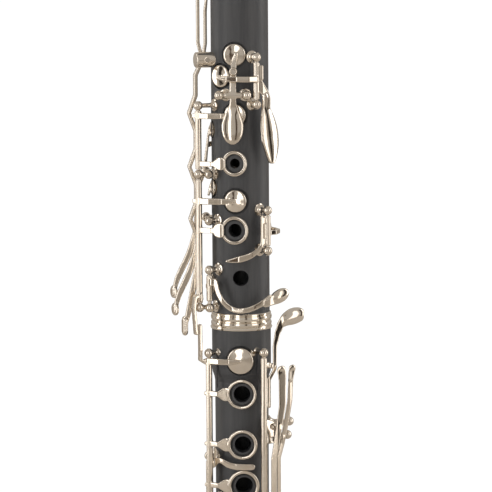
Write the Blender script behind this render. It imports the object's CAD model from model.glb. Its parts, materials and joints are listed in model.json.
"""Looks of the clarinet: materials, polished key surfaces, studio light and camera.

Everything is in metres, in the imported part's own frame: +Z up the bore, -Y the front.
"""

import json
import math

import bpy
import numpy as np
from mathutils import Matrix, Vector


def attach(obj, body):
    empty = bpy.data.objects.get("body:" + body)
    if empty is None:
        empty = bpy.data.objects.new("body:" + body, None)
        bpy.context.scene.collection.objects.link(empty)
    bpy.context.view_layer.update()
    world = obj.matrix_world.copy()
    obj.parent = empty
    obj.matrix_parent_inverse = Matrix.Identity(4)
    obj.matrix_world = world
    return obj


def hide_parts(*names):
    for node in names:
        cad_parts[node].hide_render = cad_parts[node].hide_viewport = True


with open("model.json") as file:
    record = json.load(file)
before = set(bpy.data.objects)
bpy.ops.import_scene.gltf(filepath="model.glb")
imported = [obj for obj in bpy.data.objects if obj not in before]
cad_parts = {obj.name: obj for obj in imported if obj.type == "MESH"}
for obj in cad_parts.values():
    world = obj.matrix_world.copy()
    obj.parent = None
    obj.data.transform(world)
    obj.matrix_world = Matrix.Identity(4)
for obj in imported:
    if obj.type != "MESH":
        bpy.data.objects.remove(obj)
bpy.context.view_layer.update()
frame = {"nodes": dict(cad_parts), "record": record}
nodes = frame["nodes"]

# ---------------------------------------------------------------- driving values

# Polished keys: mesh spacing and how far the edges are rubbed down
KEY_VOXEL = 0.0002
KEY_RUBS = 8
TOUCH_RUBS = 24

# Camera: what it looks at, how far it stands, how high it looks from, its lens and lean
AIM = Vector((0.0026, 0.0, 0.3689))
DISTANCE = 1.35
ELEVATION = math.radians(6.4)
LENS = 196.0
LEAN = math.radians(-0.38)

# Room: colour and strength of its plain walls
ROOM_COLOUR = (0.80, 0.74, 0.67, 1)
ROOM_LIGHT = 0.55

# Crowned touches, in mm and degrees: the way each looks, measured from the front; its root, across
# that face and in height; its direction there; where along it the crown starts and is full; its depth
CROWNS = {
    "throat_a_key": (0, (-3.6, 443.0), -90, 1.0, 8.0, 1.2),
    "throat_g_sharp_key": (43, (-2.0, 444.0), -82, 1.0, 9.0, 0.9),
    "c_sharp_key": (30, (4.6, 343.0), 23, 0.0, 3.5, 1.1),
    "left_f_sharp_lever": (29.4, (10.6, 330.6), 22, 0.0, 4.0, 1.5),
    "left_e_lever": (35.6, (5.6, 304.0), 92, 2.0, 11.0, 1.7),
    "left_f_lever": (37.5, (15.6, 304.0), 88, 2.0, 9.0, 1.2),
}
# Size of the region that a crown may move, in mm from the touch's root and from the bore's axis
TOUCH_LENGTH = 34
TOUCH_HALF_WIDTH = 8
TOUCH_INNER_REACH = 16.8
# Spacing of the rows in which a touch's width is measured, and how many rows are averaged
SLICE = 0.4
ROWS_AVERAGED = 5
NARROWEST_HALF = 0.3
# Share of the crown's depth by which the touch's edges sink below its CAD face
EDGE_SINK = 0.45

# Keys that are not crowned, but whose broad touches are buffed into soft-edged leaves
SOFT_TOUCHES = {"upper_sliver_key", "lower_sliver_key"} | {f"side_key_{number}" for number in range(1, 5)}

# Cards round the set: height of each and of its middle, then name, place on the floor plan,
# width, facing in degrees, colour and glow
CARD_HEIGHT = 1.9
CARD_MIDDLE = 0.45
CARDS = [
    ("front_box", (-0.42, -1.70), 0.36, -14, (1.0, 0.98, 0.95), 1.5),
    ("left_box", (-1.25, -0.85), 0.50, -56, (1.0, 0.98, 0.95), 1.9),
    ("right_box", (1.25, -0.95), 0.60, 53, (1.0, 0.96, 0.91), 1.05),
    ("right_back_box", (1.30, 0.25), 0.45, 100, (1.0, 0.98, 0.95), 1.8),
    ("left_back_box", (-1.30, 0.30), 0.35, -103, (1.0, 0.98, 0.95), 1.7),
    ("brown_flag_left", (-0.80, -1.30), 0.14, -32, (0.10, 0.065, 0.045), 0),
    ("brown_flag_right", (0.50, -1.50), 0.22, 18, (0.10, 0.07, 0.05), 0),
    ("dark_flag_left", (-1.35, -0.25), 0.30, -80, (0.03, 0.026, 0.024), 0),
    ("dark_flag_right", (1.40, -0.35), 0.26, 76, (0.035, 0.03, 0.027), 0),
]
FLOOR_HALF = 8
GROUND_WHITE = 1.05

SLOTS = {item["node"]: item["material_slot"] for item in frame["record"]["subparts"]}
BODY_OF = {node: body for body, names in frame["record"]["behaviour"]["bodies"].items() for node in names}


# ---------------------------------------------------------------- node helpers


class Maker:
    """One procedural material: a shader fed by object-space textures."""

    def __init__(self, name):
        self.material = bpy.data.materials.new(name)
        self.material.use_nodes = True
        self.tree = self.material.node_tree
        self.shader = self.tree.nodes["Principled BSDF"]
        self.place = self.tree.nodes.new("ShaderNodeTexCoord").outputs["Object"]

    def link(self, source, target):
        self.tree.links.new(source, target)

    def stretched(self, scale):
        mapping = self.tree.nodes.new("ShaderNodeMapping")
        mapping.inputs["Scale"].default_value = scale
        self.link(self.place, mapping.inputs["Vector"])
        return mapping.outputs["Vector"]

    def noise(self, scale, detail=4.0, rough=0.55):
        """Noise whose cells per metre along x, y and z are scale."""
        texture = self.tree.nodes.new("ShaderNodeTexNoise")
        texture.inputs["Scale"].default_value = 1.0
        texture.inputs["Detail"].default_value = detail
        texture.inputs["Roughness"].default_value = rough
        self.link(self.stretched(scale), texture.inputs["Vector"])
        return texture.outputs["Fac"]

    def ramp(self, fac, stops):
        """Colour ramp; stops are (position, colour or grey)."""
        ramp = self.tree.nodes.new("ShaderNodeValToRGB")
        elements = ramp.color_ramp.elements
        while len(elements) < len(stops):
            elements.new(0.5)
        for element, (position, colour) in zip(elements, stops):
            element.position = position
            grey = (colour,) * 3 if isinstance(colour, (int, float)) else colour
            element.color = (*grey, 1.0)
        self.link(fac, ramp.inputs["Fac"])
        return ramp.outputs["Color"]

    def colour(self, output):
        self.link(output, self.shader.inputs["Base Color"])

    def roughness(self, output):
        self.link(output, self.shader.inputs["Roughness"])

    def bump(self, height, depth, strength=1.0):
        node = self.tree.nodes.new("ShaderNodeBump")
        node.inputs["Distance"].default_value = depth
        node.inputs["Strength"].default_value = strength
        self.link(height, node.inputs["Height"])
        self.link(node.outputs["Normal"], self.shader.inputs["Normal"])

    def fixed(self, **values):
        for name, value in values.items():
            self.shader.inputs[name.replace("_", " ")].default_value = value


def plated(name, base, dull, low, high):
    """Nickel plate: a warm white metal with faint tarnish and polishing haze."""
    made = Maker(name)
    made.fixed(Metallic=1.0)
    made.colour(made.ramp(made.noise((160, 160, 160), 5), [(0.35, dull), (0.62, base)]))
    made.roughness(made.ramp(made.noise((420, 420, 90), 4), [(0.3, low), (0.75, high)]))
    made.bump(made.noise((900, 900, 900), 3), 0.00001, 0.25)
    return made.material


def body_wood():
    """Close-grained blackwood: near black, satin, with fine streaks up the bore."""
    made = Maker("body_wood")
    streaks = made.noise((900, 900, 40), 6, 0.6)
    made.colour(made.ramp(streaks, [(0.25, (0.060, 0.065, 0.074)), (0.5, (0.071, 0.076, 0.086)),
                                    (0.78, (0.086, 0.091, 0.101))]))
    made.roughness(made.ramp(made.noise((700, 700, 60), 4), [(0.3, 0.40), (0.75, 0.48)]))
    made.bump(streaks, 0.00001, 0.3)
    return made.material


def streaked(name, dark, light, scale, low, high, depth):
    """Any other grained, mottled or speckled surface."""
    made = Maker(name)
    grain = made.noise(scale, 6, 0.65)
    made.colour(made.ramp(grain, [(0.3, dark), (0.7, light)]))
    made.roughness(made.ramp(grain, [(0.3, low), (0.7, high)]))
    made.bump(grain, depth, 0.4)
    return made.material


MATERIALS = {
    "body_wood": body_wood(),
    "plated_key": plated("plated_key", (0.90, 0.84, 0.76), (0.84, 0.77, 0.68), 0.07, 0.13),
    "plated_ring": plated("plated_ring", (0.92, 0.87, 0.79), (0.86, 0.79, 0.70), 0.08, 0.14),
    "rod_steel": plated("rod_steel", (0.74, 0.69, 0.63), (0.62, 0.57, 0.52), 0.14, 0.24),
    "screw_steel": plated("screw_steel", (0.80, 0.75, 0.69), (0.68, 0.63, 0.57), 0.14, 0.24),
    "blued_steel": plated("blued_steel", (0.11, 0.11, 0.12), (0.06, 0.06, 0.07), 0.30, 0.42),
    "ebonite": streaked("ebonite", (0.008, 0.008, 0.008), (0.016, 0.015, 0.015), (60, 60, 60),
                        0.12, 0.2, 0.00001),
    "cane": streaked("cane", (0.58, 0.43, 0.19), (0.82, 0.68, 0.40), (900, 900, 20), 0.45, 0.6, 0.00005),
    "cork": streaked("cork", (0.30, 0.17, 0.08), (0.66, 0.45, 0.27), (500, 500, 500), 0.75, 0.9, 0.00015),
    "pad_skin": streaked("pad_skin", (0.50, 0.36, 0.20), (0.72, 0.56, 0.36), (300, 300, 300),
                         0.5, 0.65, 0.00005),
}


# ---------------------------------------------------------------- the instrument's surfaces


def polish(piece, voxel, rubs):
    """Melts soldered joints together and rounds the edges, as buffing does."""
    weld = piece.modifiers.new("weld", "WELD")
    weld.merge_threshold = 0.000002
    remesh = piece.modifiers.new("remesh", "REMESH")
    remesh.mode = "VOXEL"
    remesh.voxel_size = voxel
    remesh.use_smooth_shade = True
    smooth = piece.modifiers.new("smooth", "SMOOTH")
    smooth.factor = 0.5
    smooth.iterations = rubs


def crowned(piece, face, root, lean, start, full, depth):
    """Copy of a polished key whose broad touch is domed, with its edges rolled back."""
    graph = bpy.context.evaluated_depsgraph_get()
    mesh = bpy.data.meshes.new_from_object(piece.evaluated_get(graph))
    mesh.transform(piece.matrix_world)
    points = np.empty(len(mesh.vertices) * 3, dtype=np.float32)
    mesh.vertices.foreach_get("co", points)
    points = points.reshape(-1, 3).astype(float) * 1000
    turn, tilt = math.radians(face), math.radians(lean)
    across = points @ np.array([math.cos(turn), math.sin(turn), 0]) - root[0]
    up = points[:, 2] - root[1]
    outward = np.array([math.sin(turn), -math.cos(turn), 0])
    along = across * math.cos(tilt) + up * math.sin(tilt)
    aside = up * math.cos(tilt) - across * math.sin(tilt)
    reach = points @ outward
    chosen = (along > start) & (along < start + TOUCH_LENGTH)
    chosen &= (np.abs(aside) < TOUCH_HALF_WIDTH) & (reach > TOUCH_INNER_REACH)
    row = (along / SLICE).astype(int)
    rows = np.unique(row[chosen])
    low = np.array([aside[chosen & (row == k)].min() for k in rows])
    high = np.array([aside[chosen & (row == k)].max() for k in rows])
    soften = np.ones(ROWS_AVERAGED) / ROWS_AVERAGED
    margin = ROWS_AVERAGED // 2
    low, high = (np.convolve(np.pad(edge, margin, mode="edge"), soften, mode="valid") for edge in (low, high))
    middle = np.interp(along / SLICE, rows + 0.5, (low + high) / 2)
    half = np.interp(along / SLICE, rows + 0.5, (high - low) / 2)
    share = np.clip((aside - middle) / np.maximum(half, NARROWEST_HALF), -1, 1)
    dome = (1 - share**2) * np.clip(half / half[chosen].max(), 0, 1)
    ramp = np.clip((along - start) / (full - start), 0, 1)
    shift = np.where(chosen, depth * (dome - EDGE_SINK) * ramp**2 * (3 - 2 * ramp), 0)
    points += shift[:, None] * outward
    mesh.vertices.foreach_set("co", (points / 1000).astype(np.float32).ravel())
    mesh.update()
    copy = bpy.data.objects.new(piece.name + "_buffed", mesh)
    bpy.context.scene.collection.objects.link(copy)
    return copy


for node, piece in nodes.items():
    piece.data.materials.clear()
    piece.data.materials.append(MATERIALS[SLOTS[node]])
    if SLOTS[node] == "plated_key" and "posts" not in node:
        polish(piece, KEY_VOXEL, TOUCH_RUBS if node in CROWNS or node in SOFT_TOUCHES else KEY_RUBS)

bpy.context.view_layer.update()
for node, shape in CROWNS.items():
    buffed = crowned(nodes[node], *shape)
    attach(buffed, BODY_OF[node])
    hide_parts(node)


# ---------------------------------------------------------------- room, light and camera


def card(name, place, width, facing, colour, glow):
    """Flat upright card that the metal mirrors and the camera doesn't see: a soft box or a flag."""
    mesh = bpy.data.meshes.new(name)
    half_w, half_h = width / 2, CARD_HEIGHT / 2
    corners = [(-half_w, 0, -half_h), (half_w, 0, -half_h), (half_w, 0, half_h), (-half_w, 0, half_h)]
    mesh.from_pydata(corners, [], [(0, 1, 2, 3)])
    piece = bpy.data.objects.new(name, mesh)
    piece.location = (*place, CARD_MIDDLE)
    piece.rotation_euler = (0, 0, math.radians(facing))
    bpy.context.scene.collection.objects.link(piece)
    made = Maker(name)
    made.colour(made.ramp(made.noise((2, 2, 2), 2), [(0.3, tuple(0.94 * c for c in colour)), (0.7, colour)]))
    made.fixed(Roughness=0.9)
    if glow:
        made.fixed(Emission_Strength=glow)
        made.shader.inputs["Emission Color"].default_value = (*colour, 1)
    mesh.materials.append(made.material)
    piece.visible_camera = False


def white_to_camera(tree, dim, output):
    """Plain white ground for the picture, while the metal mirrors the dim warm one."""
    white = tree.nodes.new("ShaderNodeEmission")
    white.inputs["Color"].default_value = (1, 1, 1, 1)
    white.inputs["Strength"].default_value = GROUND_WHITE
    path = tree.nodes.new("ShaderNodeLightPath")
    mix = tree.nodes.new("ShaderNodeMixShader")
    tree.links.new(path.outputs["Is Camera Ray"], mix.inputs["Fac"])
    tree.links.new(dim, mix.inputs[1])
    tree.links.new(white.outputs["Emission"], mix.inputs[2])
    tree.links.new(mix.outputs["Shader"], output.inputs["Surface"])


def make_floor():
    mesh = bpy.data.meshes.new("floor")
    far = FLOOR_HALF
    mesh.from_pydata([(-far, -far, 0), (far, -far, 0), (far, far, 0), (-far, far, 0)], [], [(0, 1, 2, 3)])
    floor = bpy.data.objects.new("floor", mesh)
    bpy.context.scene.collection.objects.link(floor)
    made = Maker("floor")
    pale = made.ramp(made.noise((3, 3, 3), 3), [(0.3, (0.66, 0.62, 0.57)), (0.7, (0.72, 0.68, 0.63))])
    made.colour(pale)
    made.fixed(Roughness=0.8)
    white_to_camera(made.tree, made.shader.outputs["BSDF"], made.tree.nodes["Material Output"])
    mesh.materials.append(made.material)


def make_world():
    """Warm grey room for the metal to mirror, with a plain white ground behind the object."""
    world = bpy.data.worlds.new("studio")
    bpy.context.scene.world = world
    world.use_nodes = True
    tree = world.node_tree
    room = tree.nodes["Background"]
    room.inputs["Color"].default_value = ROOM_COLOUR
    room.inputs["Strength"].default_value = ROOM_LIGHT
    white_to_camera(tree, room.outputs["Background"], tree.nodes["World Output"])


def make_camera():
    lens = bpy.data.cameras.new("camera")
    lens.lens = LENS
    lens.sensor_width = 36.0
    camera = bpy.data.objects.new("camera", lens)
    bpy.context.scene.collection.objects.link(camera)
    camera.location = AIM + DISTANCE * Vector((0, -math.cos(ELEVATION), math.sin(ELEVATION)))
    turn = (AIM - camera.location).to_track_quat("-Z", "Y").to_matrix()
    camera.rotation_euler = (turn @ Matrix.Rotation(LEAN, 3, "Z")).to_euler()
    bpy.context.scene.camera = camera


make_floor()
make_world()
make_camera()
# tall soft boxes, seen in the metal as pale bands, with brown and dark flags between them
for shape in CARDS:
    card(*shape)

bpy.context.scene.view_settings.view_transform = "Standard"
